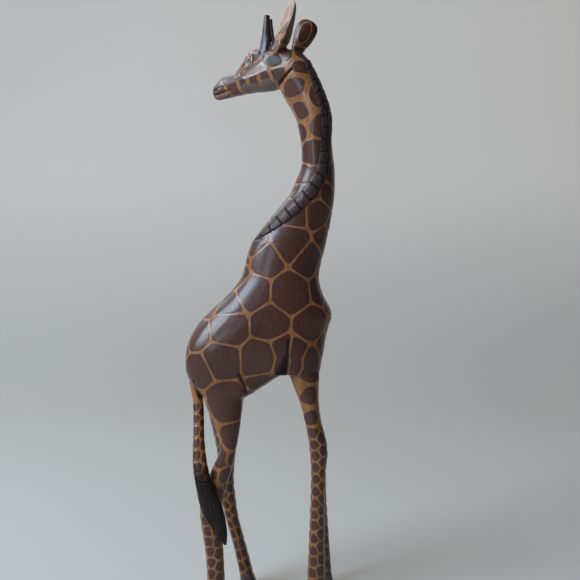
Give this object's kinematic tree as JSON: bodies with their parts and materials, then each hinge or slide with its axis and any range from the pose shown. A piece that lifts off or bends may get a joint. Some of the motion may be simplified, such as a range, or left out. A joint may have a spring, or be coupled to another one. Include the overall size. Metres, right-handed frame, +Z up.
{
  "type": "carved giraffe statue",
  "caption": "Slim standing giraffe in carved, patched brown wood, its head turned back over its shoulder, with a dark mane and a tufted tail against one hind leg.",
  "frame": {"origin": "on the ground, under the middle of the statue's outline", "axes": "+Z up, +X the way the body faces, +Y the animal's left"},
  "size_m": [0.1543, 0.0963, 0.6081],
  "materials": {
    "patterned_wood": "satin wax polish over reddish-brown stained patches and bare ochre lines",
    "blackened_wood": "scorched near-black, satin",
    "horn_wood": "dark grey-brown stain, satin",
    "ear_wood": "dark stained back, bare pale hollow",
    "dowel_wood": "bare turned dowel, glued in"
  },
  "bodies": {
    "root": {"trunk": "patterned_wood", "neck": "patterned_wood", "head": "patterned_wood", "mane": "blackened_wood", "left_ear": "ear_wood", "right_ear": "ear_wood", "left_horn": "horn_wood", "right_horn": "horn_wood", "tail": "patterned_wood", "tail_tuft": "blackened_wood", "left_front_leg": "patterned_wood", "right_front_leg": "patterned_wood", "left_hind_leg": "patterned_wood", "right_hind_leg": "patterned_wood", "neck_dowel": "dowel_wood", "head_dowel": "dowel_wood", "left_front_dowel": "dowel_wood", "right_front_dowel": "dowel_wood", "left_hind_dowel": "dowel_wood", "right_hind_dowel": "dowel_wood", "tail_peg": "dowel_wood", "tuft_peg": "dowel_wood"}
  },
  "joints": []
}
